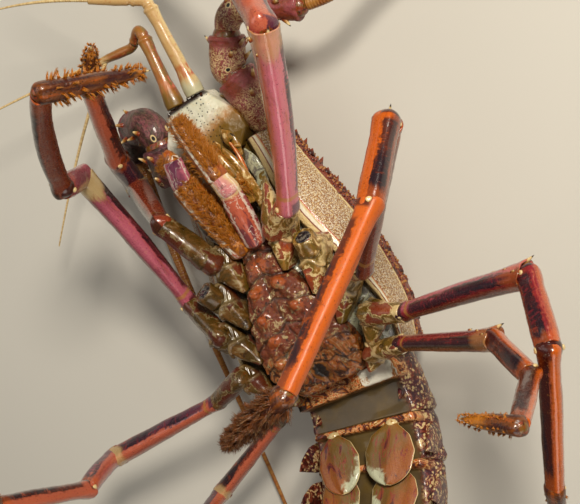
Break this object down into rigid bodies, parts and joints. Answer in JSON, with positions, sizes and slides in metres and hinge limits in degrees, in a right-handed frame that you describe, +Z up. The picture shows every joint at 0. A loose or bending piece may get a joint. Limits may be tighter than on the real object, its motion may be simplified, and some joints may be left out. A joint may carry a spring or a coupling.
{
  "type": "spiny lobster",
  "caption": "Still life-size model of a spiny lobster lying on its back, legs raised and curled over its underside, with long antennae and a curved tail.",
  "frame": {"origin": "the flat on the middle of the carapace's back, where it rests on the floor", "axes": "+Z up from the floor, the way the underside faces; +Y towards the head; +X towards the animal's own left"},
  "size_m": [0.4067, 0.5253, 0.1844],
  "materials": {
    "carapace_shell": "satin granular shell, tan with a cream rim",
    "sternum_shell": "satin shell, orange-red knobs marbled with cream",
    "cream_shell": "satin cream shell blotched red-brown",
    "antenna_shell": "mauve-brown shell netted with cream",
    "whip_shell": "orange-brown ringed shell",
    "leg_shell": "glossy pink-red shell with purple stripes",
    "leg_end_shell": "glossy orange-red shell, cream at the joints",
    "bristles": "orange-brown bristles over an orange-red shell",
    "tail_shell": "mottled maroon and cream shell with khaki skin between",
    "eye_glossy": "glossy near-black"
  },
  "bodies": {
    "root": {"carapace": "carapace_shell", "sternum": "sternum_shell", "epistome": "cream_shell", "mandible_left": "cream_shell", "eye_left": "eye_glossy", "antennule_left": "cream_shell", "antenna_base_left": "antenna_shell", "antenna_middle_left": "antenna_shell", "antenna_end_left": "antenna_shell", "whip_near_left": "whip_shell", "whip_far_left": "whip_shell", "maxilliped_upper_left": "leg_shell", "maxilliped_lower_left": "bristles", "leg_2_stump_left": "cream_shell", "mandible_right": "cream_shell", "eye_right": "eye_glossy", "antennule_right": "cream_shell", "antenna_base_right": "antenna_shell", "antenna_middle_right": "antenna_shell", "antenna_end_right": "antenna_shell", "whip_near_right": "whip_shell", "whip_far_right": "whip_shell", "maxilliped_upper_right": "leg_shell", "maxilliped_lower_right": "bristles", "leg_2_stump_right": "cream_shell", "leg_1_left_upper": "leg_shell", "leg_1_left_lower": "leg_end_shell", "leg_1_left_dactyl": "bristles", "leg_1_right_upper": "leg_shell", "leg_1_right_lower": "leg_end_shell", "leg_1_right_dactyl": "bristles", "leg_3_left_upper": "leg_shell", "leg_3_left_lower": "leg_end_shell", "leg_3_left_dactyl": "bristles", "leg_3_right_upper": "leg_shell", "leg_3_right_lower": "leg_end_shell", "leg_3_right_dactyl": "bristles", "leg_4_left_upper": "leg_shell", "leg_4_left_lower": "leg_end_shell", "leg_4_left_dactyl": "bristles", "leg_4_right_upper": "leg_shell", "leg_4_right_lower": "leg_end_shell", "leg_4_right_dactyl": "bristles", "leg_5_left_upper": "leg_shell", "leg_5_left_lower": "leg_end_shell", "leg_5_left_dactyl": "bristles", "leg_5_right_upper": "leg_shell", "leg_5_right_lower": "leg_end_shell", "leg_5_right_dactyl": "bristles", "tail_1": "tail_shell", "tail_2": "tail_shell", "tail_3": "tail_shell", "tail_4": "tail_shell", "tail_5": "tail_shell", "tail_6": "tail_shell", "telson": "tail_shell", "uropod_inner_left": "tail_shell", "uropod_inner_right": "tail_shell", "uropod_outer_left": "tail_shell", "uropod_outer_right": "tail_shell"}
  },
  "joints": []
}
